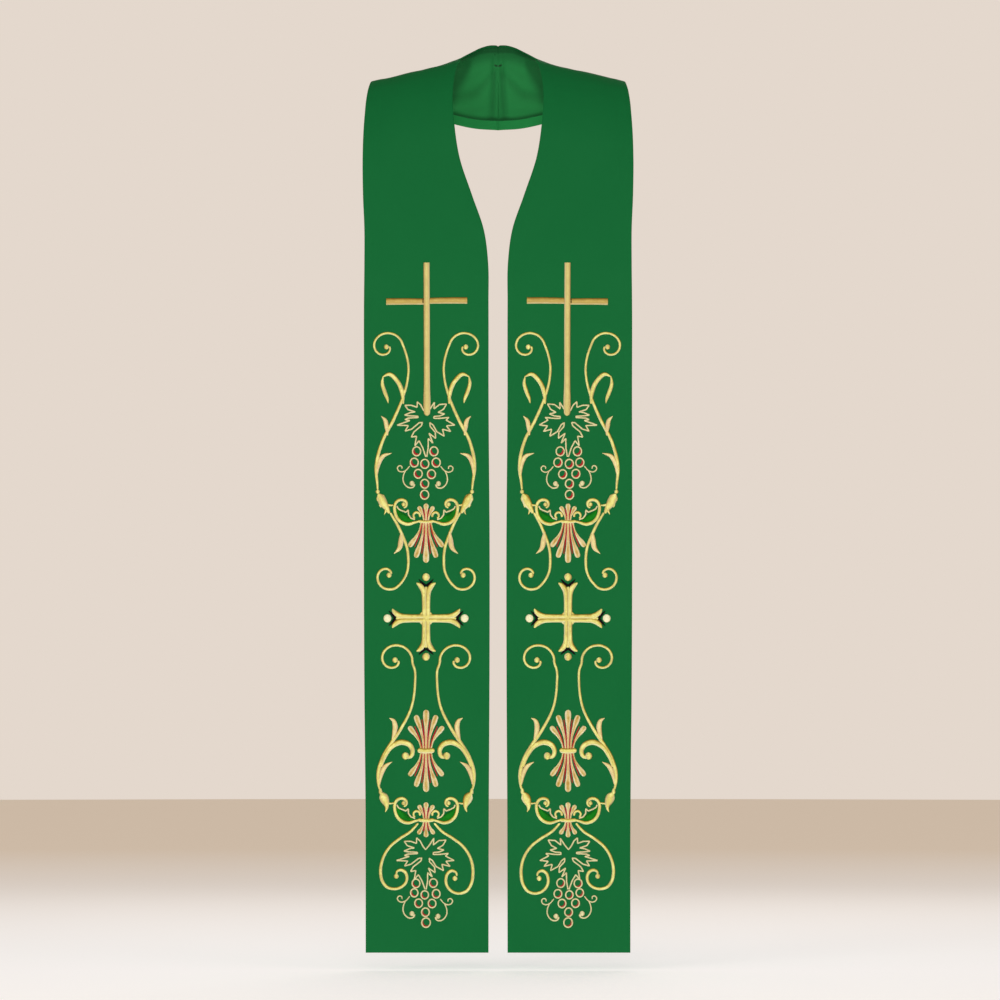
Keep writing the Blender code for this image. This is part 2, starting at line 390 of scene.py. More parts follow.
def lining_shell(name, mirror, material):
    """Lining: a thin wall whose folded border lies on the turned edges, from the seam to the hem's turn."""
    end = FORM.length - HEM_TURN + LINING_OVERLAP
    rings = np.concatenate([half_stations(end), [end - 1.2, end - 0.5, end]])
    width = FORM.read(FORM.width, rings)
    upper = columns(neck_border(rings), width - EDGE_TURN + LINING_OVERLAP, LINING_COLUMNS)
    across = np.hstack([upper, upper[:, ::-1]])
    station = np.repeat(rings[:, None], LINING_COLUMNS, axis=1)
    top = lining_depth(station, upper, mirror)
    border = np.clip(lining_border(station, upper) / 0.8, 0.0, 1.0)
    half_wall = LINING_WALL / 2 * np.sqrt(np.clip(1 - (1 - border) ** 2, 0.02, 1.0))
    middle = top + LINING_WALL / 2
    depth = np.hstack([middle - half_wall, (middle + half_wall)[:, ::-1]])
    station = np.repeat(rings[:, None], 2 * LINING_COLUMNS, axis=1)
    # Painted shade for the lining's colour.
    shade = lining_painted_shade(station, across, mirror)
    return ring_mesh(name, station, across, depth, shade, mirror, material)


# ---------------------------------------------------------------- lines of satin stitch

Stitch = namedtuple("Stitch", "points width lift relief")


def resampled(rows):
    """A smooth curve through rows, read at even steps of the distance walked along it."""
    at_rows = walked(rows[:, :2])
    fine = smooth_rows(rows, at_rows, np.linspace(0.0, at_rows[-1], 24 * len(rows)))
    along = walked(fine[:, :2])
    even = np.linspace(0.0, along[-1], max(4, int(round(along[-1] / STITCH_STEP)) + 1))
    return np.stack([np.interp(even, along, fine[:, k]) for k in range(rows.shape[1])], axis=-1)


def stroke(rows, lift=0.0, relief=1.0, square=(False, False)):
    """A line of satin stitch through rows of out, up and width, each end round unless it's square."""
    path = resampled(np.array(rows, float))
    along = walked(path[:, :2])
    width = path[:, 2]
    near = np.minimum(along + 99.0 * square[0], along[-1] - along + 99.0 * square[1])
    reach = np.maximum(np.minimum(width / 2, along[-1] / 2), 0.05)
    round_off = np.sqrt(np.clip(1 - np.clip(1 - near / reach, 0.0, 1.0) ** 2, 0.01, 1.0))
    return Stitch(path[:, :2], np.maximum(width, 0.1) * round_off, lift, relief)


def thread_line(corners, width, lift=0.0):
    """A fine line that keeps its corners: straight runs, their corners eased by averaging neighbours."""
    corners = np.array(corners, float)
    along = walked(corners)
    even = np.linspace(0.0, along[-1], int(along[-1] / STITCH_STEP) + 2)
    path = np.stack([np.interp(even, along, corners[:, k]) for k in (0, 1)], axis=-1)
    path[1:-1] = (path[:-2] + 2 * path[1:-1] + path[2:]) / 4
    return Stitch(path, np.full(len(path), width), lift, 1.0)


def disc(out, up, radius, lift=0.0, relief=1.3):
    """A round of satin stitch: a line as long as the round is wide, as broad at each step as a circle."""
    t = np.linspace(-1.0, 1.0, max(7, int(2 * radius / STITCH_STEP)))
    t = np.sin(t * np.pi / 2)
    points = np.stack([np.full(len(t), out), up + t * radius], axis=-1)
    return Stitch(points, 2 * radius * np.sqrt(np.clip(1 - t ** 2, 0.004, 1.0)), lift, relief)


def volute(out, up, start, turn, radii, width, eye_width):
    """Rows along a spiral: its radius is given at each quarter turn and eased between them."""
    quarters = np.arange(len(radii)) * 90.0
    angle = np.arange(0.0, quarters[-1] + 1.0, 22.5)
    radius = smooth_rows(np.array(radii, float)[:, None], quarters, angle)[:, 0]
    turned = np.radians(start + turn * angle)
    wide = eye_width + (width - eye_width) * ramp(0.0, 180.0, angle)
    return np.stack([out + radius * np.cos(turned), up + radius * np.sin(turned), wide], axis=-1)


def scroll(spiral, stem):
    """A spiral that runs on into a stem of listed rows."""
    return stroke(np.concatenate([spiral, np.array(stem, float)]))


def mirrored(stitches):
    """The stitches and their mirror images across the design's axis."""
    flipped = [s._replace(points=s.points * np.array([-1.0, 1.0])) for s in stitches]
    return stitches + flipped


def drawn_in(stitches):
    """The inner side's stitches brought a little nearer the axis beside the upper bunch of grapes."""
    found = []
    for s in stitches:
        out, up = s.points[:, 0], s.points[:, 1]
        pull = 0.05 * ramp(490.0, 560.0, up) * (1 - ramp(580.0, 660.0, up)) * (out < 0)
        found.append(s._replace(points=np.stack([out * (1 - pull), up], axis=-1)))
    return found


def moved(stitches, up):
    """The stitches carried up by a distance."""
    return [s._replace(points=s.points + np.array([0.0, up])) for s in stitches]


# The way from a line's middle to the side whose edge gets painted shade; the opposite edge gets a painted
# highlight.
SHADED_SIDE = np.array([0.35, 0.94])
PROFILE = np.array([-1.0, -0.86, -0.6, -0.3, 0.0, 0.3, 0.6, 0.86, 1.0])


def stitch_rings(stitch):
    """Rings of out, up and lift round a stitched line: a domed top with a ridge for each few threads."""
    path, count = stitch.points, len(stitch.points)
    ahead = np.gradient(path, axis=0)
    ahead /= np.maximum(np.linalg.norm(ahead, axis=1), 1e-9)[:, None]
    aside = np.stack([-ahead[:, 1], ahead[:, 0]], axis=-1)
    along = walked(path)
    slant = along[:, None] + 0.35 * stitch.width[:, None] * PROFILE[None, :]
    ridge = np.cos(2 * np.pi * slant / RIDGE)
    reach = np.minimum(stitch.width, 9.0)[:, None] * 0.5
    height = stitch.relief * (0.22 + 0.42 * reach ** 0.75)
    dome = (1 - np.abs(PROFILE) ** 2.6)[None, :] ** 0.55
    top = stitch.lift + height * dome * (1 + 0.07 * ridge)
    spread = stitch.width[:, None] / 2 * PROFILE[None, :] * (1 + 0.025 * ridge)
    foot = np.full((count, 1), stitch.lift - 0.6)
    lift = np.hstack([top, foot, foot])
    offset = np.hstack([spread, spread[:, -1:] * 0.9, spread[:, :1] * 0.9])
    flat = path[:, None, :] + aside[:, None, :] * offset[:, :, None]
    u = np.repeat(along[:, None], offset.shape[1], axis=1) * MM
    v = np.concatenate([PROFILE, [0.9, -0.9]])[None, :]
    # The share of painted shade across the line: up to 1 at the edge towards SHADED_SIDE, down to 0 at the
    # opposite edge, which gets a painted highlight.
    shade = 0.5 + 0.5 * v * (aside @ SHADED_SIDE)[:, None]
    return flat, lift, np.stack([u, np.repeat(v, count, axis=0) * 0.5 + 0.5], axis=-1), shade


def sewn(name, stitches, mirror, material):
    """All the stitches of one thread colour on one front, laid on its face and joined into one mesh."""
    points, faces, uvs, shades, first = [], [], [], [], 0
    for stitch in stitches:
        flat, lift, uv, shade = stitch_rings(stitch)
        station = FORM.front_station(flat[..., 1])
        neck_x = FORM.read(FORM.neck, station)[..., 0]
        across = AXIS[mirror] + flat[..., 0] - neck_x
        points.append(laid(station, across, lift, mirror).reshape(-1, 3))
        uvs.append(uv.reshape(-1, 2))
        shades.append(shade.ravel())
        faces.append(tube_faces(*station.shape) + first)
        first += station.size
    points, faces = placed(np.concatenate(points), mirror), np.concatenate(faces)
    return add_mesh(name, points, faces, np.concatenate(uvs), np.concatenate(shades), material)


# ---------------------------------------------------------------- the embroidery's motifs
# out is the distance from the design's axis towards the outer edge, and up the height above the hem.

def cross_upright():
    """The tall cross's upright of ribbed gold, square at the top and round at its foot."""
    rows = [(-0.6, 876.5, 7.7), (-0.9, 800, 7.8), (-1.1, 720, 8.0), (-1.2, 692, 9.0), (-1.2, 682, 7.4)]
    return [stroke(rows, lift=0.35, relief=0.75, square=(True, False))]


def crossbar():
    """The tall cross's bar, sewn in two lengths that stop at the upright."""
    outer = [(2.6, 827.0, 7.8), (26, 827.2, 8.2), (50.6, 827.0, 8.4)]
    inner = [(-4.6, 828.0, 7.6), (-28, 828.4, 8.0), (-52.2, 828.4, 8.2)]
    return [stroke(rows, relief=0.75, square=(True, True)) for rows in (outer, inner)]


def painted_crossing_shadow():
    """A short black stitch beside the crossing: painted shadow where the bar meets the upright."""
    return [stroke([(3.9, 824.8, 1.4), (3.9, 830.4, 1.4)], lift=0.75)]


def upper_scrolls():
    """The pair of long S scrolls round the first bunch of grapes, with their hooks and lower curls."""
    top = volute(51.4, 769.6, 175.0, 1.0, (4.6, 9.2, 14.2, 17.0, 22.2), 2.9, 2.6)
    stem = [(22.4, 743.6, 2.9), (23.6, 727.1, 3.0), (28.6, 708, 3.3), (41.2, 677.5, 4.0),
            (55.4, 649.6, 4.0), (63.4, 614, 4.3), (62.0, 596, 3.0), (61.4, 588, 2.4)]
    lower = volute(48.8, 478.2, 150.0, -1.0, (5.4, 10.6, 13.8, 17.8), 3.2, 3.0)
    rise = [(32.4, 469.0, 3.1), (24.0, 484, 3.2), (22.6, 500, 3.4), (24.4, 515, 3.6), (29.6, 529, 3.8),
            (37.0, 544.8, 3.6), (45.6, 559, 2.8)]
    hook = [(29.2, 697, 2.4), (30.0, 710, 5.2), (36.4, 725.8, 5.4), (47.4, 734.8, 4.4), (54.6, 731.8, 1.6)]
    hook_back = [(54.4, 732.6, 1.2), (55.6, 724, 4.0), (52.4, 712, 4.8), (49.0, 703, 3.4),
                 (48.0, 697.8, 0.6)]
    return drawn_in(mirrored([
        scroll(top, stem), scroll(lower, rise), stroke(hook, lift=0.2), stroke(hook_back, lift=0.1),
        disc(50.4, 769.4, 3.2, lift=0.25), disc(47.0, 479.6, 3.3, lift=0.25),
    ]))


def spurs():
    """The pale pointed leaves that spring from the long scrolls, wide in the middle and drawn to a tip."""
    upper = [
        [(49.0, 657, 1.8), (50.2, 668, 5.4), (51.8, 676, 5.0), (57.0, 681.8, 0.5)],
        [(62.8, 605, 1.8), (60.4, 620.6, 5.2), (54.4, 630.8, 5.0), (43.4, 634.6, 0.5)],
        [(31.0, 535, 2.2), (31.8, 524, 6.4), (33.8, 514, 5.6), (41.0, 506.6, 0.5)],
    ]
    lower = [
        [(43.0, 270, 2.0), (40.2, 280, 5.6), (39.4, 289, 6.4), (41.6, 295.0, 4.6), (46.8, 298.2, 0.5)],
        [(59.4, 213, 1.8), (56.8, 227, 5.2), (51.6, 237.0, 5.2), (43.0, 242.6, 0.5)],
    ]
    return (drawn_in(mirrored([stroke(rows, lift=0.2) for rows in upper]))
            + mirrored([stroke(rows, lift=0.2) for rows in lower]))


def upper_buds():
    """The acanthus knobs that end the long scrolls: bead, swelling bulb, forked tail and a link inwards."""
    bead = disc(61.4, 585.6, 2.6, lift=0.3)
    bulb = stroke([(60.6, 583, 4.2), (57.4, 577.4, 10.2), (54.2, 571.0, 10.8), (50.2, 565, 7.0),
                   (46.6, 558, 3.2)], lift=0.35, relief=1.1)
    tail = stroke([(51.6, 568, 3.4), (51.0, 562, 3.4), (53.2, 556.4, 0.6)], lift=0.2)
    tip = stroke([(50.6, 569.5, 3.0), (46.4, 568.4, 2.6), (41.6, 568.4, 1.6)], lift=0.2)
    lobes = [stroke(rows, lift=0.15) for rows in (
        [(59.4, 580.6, 2.4), (61.6, 577.4, 2.8), (61.7, 573.4, 1.0)],
        [(56.4, 572.6, 2.2), (58.5, 569.2, 2.8), (57.4, 565.4, 1.0)],
        [(57.2, 582, 1.6), (54.2, 580.0, 2.6), (52.2, 575.8, 1.0)],
    )]
    return drawn_in(mirrored([bead, bulb, tail, tip] + lobes))


def lower_buds():
    """The smaller knobs under the double palmette."""
    neck = stroke([(58.2, 209, 2.6), (57.8, 204, 4.6), (57.4, 201, 3.4)], lift=0.3)
    bulb = stroke([(57.0, 203.6, 4.2), (54.4, 198.6, 11.0), (52.2, 193.6, 11.0), (50.2, 187.6, 6.6),
                   (50.2, 183.2, 3.6), (52.0, 178.6, 0.8)], lift=0.35, relief=1.1)
    tip = stroke([(51.4, 191.2, 3.0), (46.6, 189.6, 2.4), (40.6, 190.2, 1.6)], lift=0.2)
    return mirrored([neck, bulb, tip])


def lower_scrolls():
    """The pair of scrolls round the double palmette, with their thick inner volutes."""
    top = volute(39.8, 371.8, 190.0, 1.0, (4.6, 9.6, 16.2, 19.0, 23.0), 3.1, 3.0)
    stem = [(14.4, 359.4, 3.0), (14.0, 343.5, 3.0), (18.6, 312, 3.3), (32, 284.6, 4.0), (45, 265, 4.8),
            (55.4, 247, 4.8), (60.8, 226.7, 4.8), (60.4, 214, 3.4), (58.8, 207, 2.6)]
    inner = [(57.4, 236, 3.4), (52.4, 249.5, 5.2), (44, 261.5, 6.0), (31, 267.4, 7.0),
             (20.6, 263.6, 6.6), (17.2, 256.8, 5.8), (19.4, 249.6, 5.0), (25.0, 247.8, 3.6)]
    return mirrored([
        scroll(top, stem), stroke(inner, lift=0.3), disc(39.4, 371.8, 3.5, lift=0.25),
        disc(26.2, 250.0, 4.6, lift=0.4),
    ])


def heart_scrolls():
    """The two scrolls that part under the last palmette and curl in beside the second bunch of grapes."""
    rows = np.array([
        (38.2, 99.6, 2.4), (36.6, 103.6, 3.0), (32.0, 105.2, 3.8), (27.0, 102.8, 4.0), (24.4, 96.6, 3.8),
        (25.8, 89.2, 3.6), (32.2, 83.2, 3.6), (41.4, 81.2, 3.6), (49.6, 83.6, 3.8), (55.4, 90.8, 4.0),
        (57.8, 102.2, 4.0), (56.8, 113.0, 3.8), (53.0, 124.2, 3.6), (44.9, 135.8, 3.6), (33.3, 145.2, 3.6),
        (19.6, 154.2, 3.4), (10.0, 164.6, 2.8),
    ])
    outer = [stroke(rows), disc(37.8, 97.2, 3.1, lift=0.25)]
    # The inner scroll reaches a little further in, and its lower bend hangs a fifth lower.
    inner_rows = rows * np.array([-1.03, 1.0, 1.0])
    inner_rows[:, 1] = np.minimum(rows[:, 1], 110.0 - 1.2 * (110.0 - rows[:, 1]))
    return outer + [stroke(inner_rows), disc(-36.6, 94.4, 3.2, lift=0.25)]


def base_volutes(up):
    """The small volutes beside a tie, wound tight round a ball, and the little loops over the tie."""
    eye = volute(28.9, 21.2, 265.0, -1.0, (3.6, 4.2, 6.3, 10.9), 3.9, 2.4)
    stem = [(39.4, 11.4, 4.0), (36.2, 3.8, 4.2), (30.4, -1.4, 4.4), (23.0, -3.4, 4.2), (14.4, -1.2, 3.2),
            (8.8, 0.4, 2.6)]
    loop = volute(11.8, 7.6, -60.0, 1.0, (4.2, 4.2, 4.0, 4.0), 3.1, 2.6)
    return moved(mirrored([
        scroll(eye, stem), disc(28.6, 21.6, 2.6, lift=0.25), stroke(loop, lift=0.15),
    ]), up)


def leaf_edges(up):
    """The cream zigzag along the inner edge of each small leaf."""
    edge = [(37.0, 19.4), (35.4, 16.2), (32.4, 14.4), (25.6, 11.8), (22.6, 14.6), (22.4, 8.6), (19.2, 4.2),
            (14.0, 2.4)]
    return moved(mirrored([thread_line(edge, 2.0, lift=0.2)]), up)


def leaf_fills(up):
    """The bright green leaf between each small volute and its zigzag."""
    fill = [(37.4, 17.6, 1.4), (34.6, 10.8, 6.0), (30.2, 6.0, 9.6), (24.2, 2.8, 8.2), (16.6, 0.8, 2.2)]
    return moved(mirrored([stroke(fill, lift=-0.15, relief=0.6)]), up)


def petal(tip_out, tip_up, foot_out, foot_up, wide, shank, lift):
    """A petal: a narrow shank from the tie that swells into a round tip, bowed a little outwards."""
    bow = 0.14 * (tip_out - foot_out)
    run = np.array([tip_out - foot_out, tip_up - foot_up])
    rows = [
        (foot_out, foot_up, shank),
        (foot_out + 0.30 * run[0] - bow, foot_up + 0.36 * run[1], shank),
        (foot_out + 0.56 * run[0] - bow, foot_up + 0.60 * run[1], 0.6 * wide),
        (foot_out + 0.82 * run[0] - 0.4 * bow, foot_up + 0.84 * run[1], wide),
        (tip_out, tip_up, 0.9 * wide),
    ]
    return stroke(rows, lift=lift)


Fan = namedtuple("Fan", "outs ups wide shank")


def fan(spec, direction, tie_up):
    """A fan of petals from a tie: the middle one, then each pair, going up or down."""
    petals = [petal(0.0, tie_up + direction * spec.ups[0], 0.0, tie_up, spec.wide, spec.shank, 0.3)]
    for k, (out, up) in enumerate(zip(spec.outs[1:], spec.ups[1:])):
        foot = (k + 1) * spec.shank * 0.86
        side = petal(out, tie_up + direction * up, foot, tie_up, spec.wide * (0.88 - 0.06 * k),
                     spec.shank * 0.8, 0.2 - 0.1 * k)
        petals += mirrored([side])
    return petals


def fan_veins(spec, direction, tie_up, share):
    """The dark red lines that lie between the petals of a fan."""
    veins = []
    for k in range(len(spec.outs) - 1):
        out = (spec.outs[k] + spec.outs[k + 1]) / 2 * share
        up = (spec.ups[k] + spec.ups[k + 1]) / 2 * share
        foot = (k + 0.5) * spec.shank * 0.9
        veins.append(stroke([
            (foot, tie_up + direction * 1.5, 1.9),
            ((foot + out) / 2 - 0.5, tie_up + direction * up * 0.55, 2.1),
            (out, tie_up + direction * up, 1.2),
        ], lift=0.25))
    return mirrored(veins)


SMALL_UP = Fan((0.0, 9.6), (22.8, 19.2), 6.6, 3.0)
LARGE_DOWN = Fan((0.0, 13.2, 21.6), (52.6, 46.0, 32.2), 8.0, 3.3)
LARGE_UP = Fan((0.0, 13.2, 22.0), (51.8, 45.0, 30.8), 8.0, 3.3)
FOOT_DOWN = Fan((0.0, 10.2), (21.8, 17.8), 6.4, 3.0)
UPPER_TIE, MIDDLE_TIE, LOWER_TIE = 547.8, 256.8, 168.4


def palmettes():
    """The three bunches of petals on the axis."""
    return (fan(SMALL_UP, 1, UPPER_TIE) + fan(LARGE_DOWN, -1, UPPER_TIE)
            + fan(LARGE_UP, 1, MIDDLE_TIE) + fan(LARGE_DOWN, -1, MIDDLE_TIE)
            + fan(SMALL_UP, 1, LOWER_TIE) + fan(FOOT_DOWN, -1, LOWER_TIE))


def ties():
    """The gold bars that bind the petals."""
    bars = []
    for up, half, wide in ((UPPER_TIE, 10.2, 3.8), (MIDDLE_TIE, 10.9, 6.6), (LOWER_TIE, 10.4, 4.6)):
        bars.append(stroke([(-half, up + 0.4, wide), (0, up - 0.5, wide), (half, up + 0.4, wide)],
                           lift=0.7, relief=1.1))
    return bars


def red_threads():
    """Red lines between the petals, and a red crescent inside each grape."""
    veins = (fan_veins(LARGE_DOWN, -1, UPPER_TIE, 0.84) + fan_veins(LARGE_UP, 1, MIDDLE_TIE, 0.82)
             + fan_veins(LARGE_DOWN, -1, MIDDLE_TIE, 0.84) + fan_veins(SMALL_UP, 1, UPPER_TIE, 0.78)
             + fan_veins(SMALL_UP, 1, LOWER_TIE, 0.78) + fan_veins(FOOT_DOWN, -1, LOWER_TIE, 0.72))
    return veins + crescents(UPPER_GRAPES, 2.5) + crescents(LOWER_GRAPES, 1.6)


ARM, ARM_REACH, FLARE = 2.65, 43.0, 12.2
CROSS_UP = 424.7
# How much longer the arms are than one another: up, inwards, down and outwards.
ARM_STRETCH = (1.05, 1.0, 0.975, 1.0)


def quarter_turned(stitches):
    """The stitches in all four directions round the origin, each arm with its own length."""
    found = []
    for (cos, sin), stretch in zip(((1, 0), (0, 1), (-1, 0), (0, -1)), ARM_STRETCH):
        turn = np.array([[cos, sin], [-sin, cos]], float)
        found += [s._replace(points=s.points * [1.0, stretch] @ turn) for s in stitches]
    return found


def flared_cross():
    """Four arms, each of two strokes side by side on a low filling, that part and curl out to a point."""
    side = [(ARM, 0.0, 5.3), (ARM, 22.0, 5.3), (ARM + 0.3, 30.0, 5.9), (ARM + 1.7, 35.4, 6.7),
            (ARM + 5.3, 40.2, 5.6), (FLARE, ARM_REACH, 1.6)]
    filling = stroke([(0.0, 0.0, 6.0), (0.0, 30.0, 6.0), (0.0, 38.4, 4.4)], lift=-0.4, relief=0.95)
    corner = stroke([(3.4, 9.0, 1.6), (5.4, 5.4, 4.2), (9.0, 3.4, 1.6)], relief=0.8)
    arms = mirrored([stroke(side, lift=0.2, relief=1.1)]) + [filling, corner]
    return moved(quarter_turned(arms) + [disc(0.0, 0.0, 2.6, relief=1.0)], CROSS_UP)


def cross_chevrons():
    """The black chevron between each flared end and its ball."""
    rows = [(0.0, 39.2, 3.8), (2.4, 40.8, 3.4), (5.6, 43.6, 2.8), (9.4, 47.4, 0.8)]
    return moved(quarter_turned(mirrored([stroke(rows, lift=0.3, relief=0.8)])), CROSS_UP)


def cross_balls(sideways):
    """The ball beyond each end of the flared cross: gold above and below, off-white at the sides."""
    if sideways:
        return mirrored([disc(49.0, CROSS_UP, 5.1, lift=0.3)])
    return [disc(0.0, CROSS_UP + 52.4, 4.9, lift=0.3), disc(0.0, CROSS_UP - 48.8, 4.9, lift=0.3)]


# The vine leaf's outline on its outer and its inner side, from the notch at the top to the tail.
LEAF_OUTER = (
    (0.0, 6.0), (3.6, 10.6), (7.0, 17.2), (11.4, 21.0), (11.6, 14.0), (19.0, 16.6), (27.0, 16.6),
    (23.4, 11.2), (14.2, 8.2), (20.0, 7.4), (27.4, 4.2), (22.6, 3.4), (10.4, 2.6), (10.4, 1.0), (22.8, 0.4),
    (27.0, -1.6), (20.8, -2.8), (37.0, -8.6), (22.8, -9.2), (26.8, -16.2), (18.4, -13.6), (9.0, -5.6),
    (4.8, -5.2), (6.2, -9.4), (15.6, -17.2), (19.0, -23.8), (12.4, -22.6), (14.4, -35.0), (9.2, -28.4),
    (4.6, -37.0), (0.6, -49.0),
)
LEAF_INNER = (
    (0.0, 6.0), (4.6, 11.6), (10.4, 20.4), (9.8, 12.0), (17.0, 17.6), (25.8, 18.2), (21.8, 11.4), (15.0, 7.6),
    (23.4, 5.6), (17.0, 3.0), (9.8, 2.4), (9.6, 0.0), (17.0, 0.0), (28.8, 1.2), (25.2, -2.2), (36.2, -8.4),
    (25.8, -9.6), (31.0, -16.6), (20.6, -13.8), (22.8, -22.6), (13.4, -17.0), (8.6, -8.4), (4.6, -5.4),
    (5.0, -10.2), (11.4, -17.6), (12.0, -25.4), (3.6, -19.0), (8.4, -31.4), (2.6, -25.6), (2.4, -38.0),
    (0.6, -49.0),
)
UPPER_LEAF, LOWER_LEAF = 678.8, 125.0


def vine_leaves():
    """Two vine leaves drawn as one cream outline each; the lower one is a little shorter below."""
    outlines = []
    for up, out, below in ((UPPER_LEAF, -0.2, 1.0), (LOWER_LEAF, 0.6, 0.91)):
        whole = np.concatenate([np.array(LEAF_OUTER)[::-1], np.array(LEAF_INNER)[1:] * [-1.0, 1.0]])
        whole[:, 1] = np.where(whole[:, 1] < 0, whole[:, 1] * below, whole[:, 1])
        outlines.append(thread_line(whole + [out, up], 1.9))
    return outlines


Grape = namedtuple("Grape", "out up radius")
UPPER_GRAPES = tuple(Grape(*row) for row in (
    (-9.9, 636.9, 5.4), (12.0, 636.9, 5.4), (-12.8, 622.7, 5.4), (1.7, 621.0, 5.4), (15.0, 622.7, 5.3),
    (-6.8, 607.9, 5.3), (10.0, 608.4, 5.3), (1.8, 595.7, 5.3), (1.9, 581.8, 5.4),
))
LOWER_GRAPES = tuple(Grape(*row) for row in (
    (-9.2, 88.6, 5.2), (12.8, 88.2, 5.2), (-12.8, 75.0, 5.1), (1.7, 73.6, 4.9), (15.0, 76.2, 4.9),
    (-7.6, 62.6, 5.1), (9.5, 63.0, 5.1), (0.8, 51.6, 5.1), (0.1, 38.4, 5.7),
))


def grape_rings():
    """A ring of cream thread for each grape, a little taller than wide."""
    angle = np.radians(np.arange(0.0, 386.0, 15.0))
    rings = []
    for k, grape in enumerate(UPPER_GRAPES + LOWER_GRAPES):
        circle = np.stack([
            grape.out + 0.95 * grape.radius * np.cos(angle), grape.up + 1.05 * grape.radius * np.sin(angle),
            np.full(len(angle), 1.9),
        ], axis=-1)
        rings.append(stroke(circle, lift=0.05 * (k % 3)))
    return rings


def crescents(grapes, width):
    """A crescent of thread inside the lower outer edge of each grape."""
    angle = np.radians(np.linspace(130.0, 320.0, 11))
    swell = 0.4 + width * np.sin(np.linspace(0.0, np.pi, 11)) ** 0.7
    found = []
    for grape in grapes:
        inner = grape.radius - 0.5 - swell / 2
        arc = np.stack([
            grape.out - 0.95 * inner * np.cos(angle), grape.up + 1.05 * inner * np.sin(angle), swell,
        ], axis=-1)
        found.append(stroke(arc, lift=-0.05, relief=0.8))
    return found


def tendrils():
    """The fine curls on both sides of each bunch of grapes."""
    small = [(30.6, 614.6, 1.5), (31.0, 617.8, 1.6), (34.0, 618.6, 1.7), (36.4, 615.8, 1.7),
             (35.0, 612.4, 1.7), (30.6, 610.8, 1.7), (25.9, 612.6, 1.6), (20.6, 618.4, 1.5)]
    large = [(17.4, 593.4, 2.4), (14.8, 594.6, 2.2), (15.6, 592.2, 2.0), (21.0, 590.6, 2.0),
             (26.2, 593.8, 1.8), (29.2, 600.0, 1.8), (28.6, 606.8, 1.7), (25.9, 612.8, 1.5)]
    outer = [stroke(small), stroke(large), disc(18.0, 596.2, 3.2, lift=0.2, relief=1.0)]
    inner = [s._replace(points=s.points * [-1.0, 1.0] + [2.2, -0.4]) for s in outer]
    low = moved(outer, -546.4) + [s._replace(points=s.points + [0.6, -549.4]) for s in inner]
    return outer + inner + low


# ---------------------------------------------------------------- hand stitches on the lining

def slip_stitches(name, mirror, material):
    """Small slanting stitches that hold the lining's folded border down on the turned edges."""
    pitch, rise, thick = 8.0, 0.42, 0.24
    station = np.arange(6.0, FORM.length - HEM_TURN - 4.0, pitch)
    step = np.linspace(-1.0, 1.0, 6)
    around = np.radians(np.arange(0.0, 360.0, 60.0))
    found = []
    for edge in (0, 1):
        centre = np.repeat(station[:, None], len(step), axis=1) + step[None, :] * 1.1
        width = FORM.read(FORM.width, centre)
        slant = 0.2 + step[None, :] * 0.9
        outer = width - (EDGE_TURN - LINING_OVERLAP) - slant
        across = neck_border(centre) + slant if edge == 0 else outer
        depth = 2.9 + rise * (1 - step[None, :] ** 2) + 0.35 * ramp(-0.4, 0.4, step)[None, :]
        found.append((centre, np.broadcast_to(across, centre.shape), np.broadcast_to(depth, centre.shape)))
    centre, across, depth = (np.concatenate(parts) for parts in zip(*found))
    taper = thick * np.sqrt(np.clip(1 - step ** 2, 0.1, 1.0))[None, :, None]
    ring_station = centre[:, :, None] + taper * np.cos(around)
    ring_across = np.repeat(across[:, :, None], 6, axis=2)
    ring_depth = depth[:, :, None] + taper * np.sin(around)
    return many_tubes(name, laid(ring_station, ring_across, -ring_depth, mirror), mirror, material)


def many_tubes(name, points, mirror, material):
    """Many short closed tubes of the same make, joined into one mesh."""
    tubes, rings, count, _ = points.shape
    each = tube_faces(rings, count)
    faces = (each[None] + (np.arange(tubes) * rings * count)[:, None, None]).reshape(-1, 4)
    uv = np.tile(np.linspace(0.0, 0.002, rings)[:, None, None], (tubes, 1, count, 2)).reshape(-1, 2)
    return add_mesh(name, placed(points, mirror), faces, uv, np.full(len(uv), 0.5), material)


def neck_tack(name, mirror, material):
    """The bar of dark stitches that closes the lining at the centre back, a little below the neck edge."""
    step = np.linspace(0.0, 1.0, 9)
    around = np.radians(np.arange(0.0, 360.0, 45.0))
    rows = np.arange(3)
    station = 0.3 + step[None, :] * 8.4 + 0 * rows[:, None]
    across = 25.6 - 2.4 * step[None, :] ** 1.4 + rows[:, None] * 0.75
    taper = 0.42 * np.sqrt(np.clip(1 - step ** 4, 0.08, 1.0))[None, :, None]
    depth = lining_depth(station, across, mirror) + LINING_WALL + 0.05
    ring_station = np.repeat(station[:, :, None], 8, axis=2)
    ring_across = across[:, :, None] + taper * np.cos(around)
    ring_depth = depth[:, :, None] + taper * np.sin(around)
    return many_tubes(name, laid(ring_station, ring_across, -ring_depth, mirror), mirror, material)


# ---------------------------------------------------------------- materials

def linear(red, green, blue):
    """A colour as the eye's 0 to 255 values, turned into linear light."""
    eye = np.array([red, green, blue]) / 255.0
    light = np.where(eye <= 0.04045, eye / 12.92, ((eye + 0.055) / 1.055) ** 2.4)
    return (*light.tolist(), 1.0)


def new_group(name, inputs, outputs):
    """An empty shader group with named sockets: its tree, its input node and its output node."""
    tree = bpy.data.node_groups.new(name, "ShaderNodeTree")
    for label, kind, value in inputs:
        socket = tree.interface.new_socket(name=label, in_out="INPUT", socket_type=kind)
        if value is not None:
            socket.default_value = value
    for label, kind in outputs:
        tree.interface.new_socket(name=label, in_out="OUTPUT", socket_type=kind)
    return tree, tree.nodes.new("NodeGroupInput"), tree.nodes.new("NodeGroupOutput")


